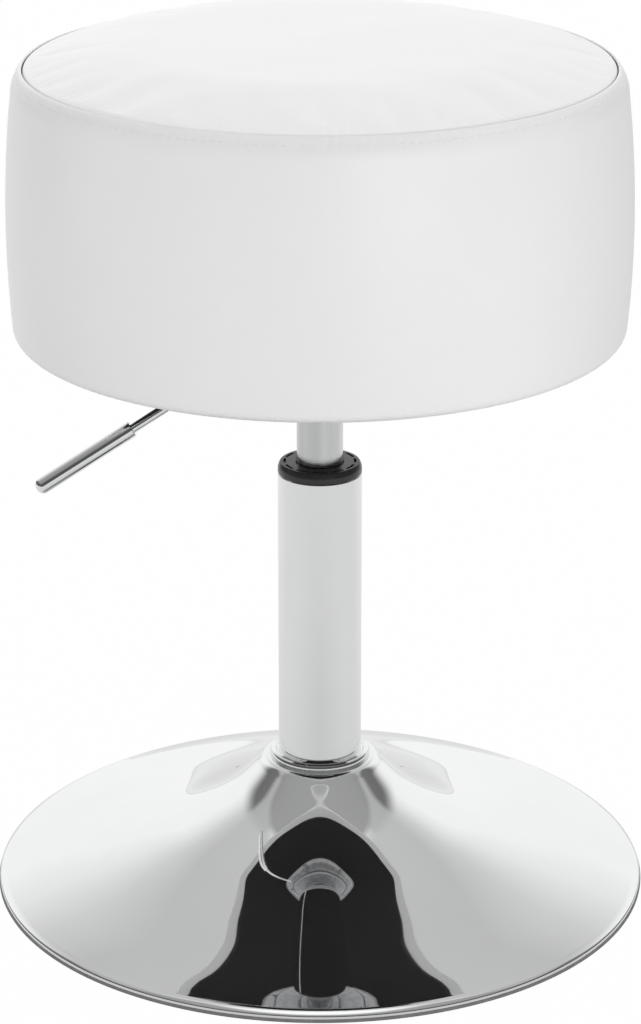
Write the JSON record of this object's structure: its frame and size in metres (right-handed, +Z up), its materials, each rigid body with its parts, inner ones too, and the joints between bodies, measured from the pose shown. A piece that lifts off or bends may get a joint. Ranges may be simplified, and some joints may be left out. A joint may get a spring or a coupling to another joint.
{
  "type": "height-adjustable swivel stool",
  "caption": "Low swivel stool: round padded drum seat in white faux leather on a gas lift with a release lever, chrome column and trumpet base.",
  "frame": {"origin": "centre of the base's footprint, on the floor", "axes": "+Z up along the column; the stool is seen in the picture along +Y, with +X to the right and the lever to the left"},
  "size_m": [0.4009, 0.401, 0.53],
  "materials": {
    "chrome": "polished",
    "floor_pvc": "matte",
    "black_paint": "satin",
    "black_plastic": "satin",
    "plain_steel": "zinc plated",
    "bearing_brass": "turned",
    "light_alloy": "turned",
    "seal_rubber": "matte",
    "plywood": "raw",
    "foam": "open cell",
    "white_leather": "satin, fine grain",
    "black_fabric": "matte"
  },
  "bodies": {
    "base": {"floor_ring": "floor_pvc", "base_plate": "black_paint", "socket_screws": "plain_steel", "base_shell": "chrome", "set_screws": "plain_steel", "column_socket": "plain_steel", "neck_ring": "chrome", "column_tube": "chrome", "guide_bush": "black_plastic", "rod_seat": "plain_steel", "lower_bearing_washer": "plain_steel"},
    "lift_rod": {"upper_bearing_washer": "plain_steel", "retaining_washer": "plain_steel", "retaining_clip": "plain_steel", "piston_rod": "plain_steel", "bump_stop": "seal_rubber", "piston": "light_alloy", "piston_seal": "seal_rubber", "piston_nut": "plain_steel"},
    "bearing_cage": {"ball_cage": "bearing_brass", "bearing_balls": "plain_steel"},
    "seat": {"pressure_tube": "chrome", "rod_gland": "light_alloy", "gland_seal": "seal_rubber", "valve_body": "bearing_brass", "plate_hub": "plain_steel", "plate_washers": "plain_steel", "plate_bolts": "plain_steel", "tee_nuts": "plain_steel", "seat_plate": "plain_steel", "pivot_pin": "plain_steel", "lever_bracket": "plain_steel", "dust_cover": "black_fabric", "cover_staples": "plain_steel", "hoop_screws": "plain_steel", "bottom_board": "plywood", "top_board": "plywood", "drum_hoop": "plywood", "side_cover": "white_leather", "side_foam": "foam", "top_pad": "foam", "top_cover": "white_leather"},
    "lever": {"lever_rod": "chrome", "lever_grip": "chrome"},
    "button": {"valve_pin": "plain_steel"}
  },
  "joints": [
    {"name": "seat_swivel", "type": "hinge", "parent": "base", "child": "lift_rod", "pos_m": [0, 0, 0.032], "axis": [0, 0, 1], "continuous": true},
    {"name": "cage_turn", "type": "hinge", "parent": "base", "child": "bearing_cage", "pos_m": [0, 0, 0.032], "axis": [0, 0, 1], "continuous": true},
    {"name": "seat_lift", "type": "slide", "parent": "lift_rod", "child": "seat", "axis": [0, 0, 1], "range_m": [0, 0.12]},
    {"name": "lever_pivot", "type": "hinge", "parent": "seat", "child": "lever", "pos_m": [-0.03565, -0.00501, 0.3453], "axis": [-0.1392, 0.9903, 0], "range_deg": [0, 7], "stiffness_Nm_per_rad": 0.8},
    {"name": "button_press", "type": "slide", "parent": "seat", "child": "button", "axis": [0, 0, -1], "range_m": [0, 0.005]}
  ],
  "couplings": [
    {"joint": "cage_turn", "follows": "seat_swivel", "ratio": 0.5},
    {"joint": "button_press", "follows": "lever_pivot", "m_per_rad": 0.0375}
  ]
}
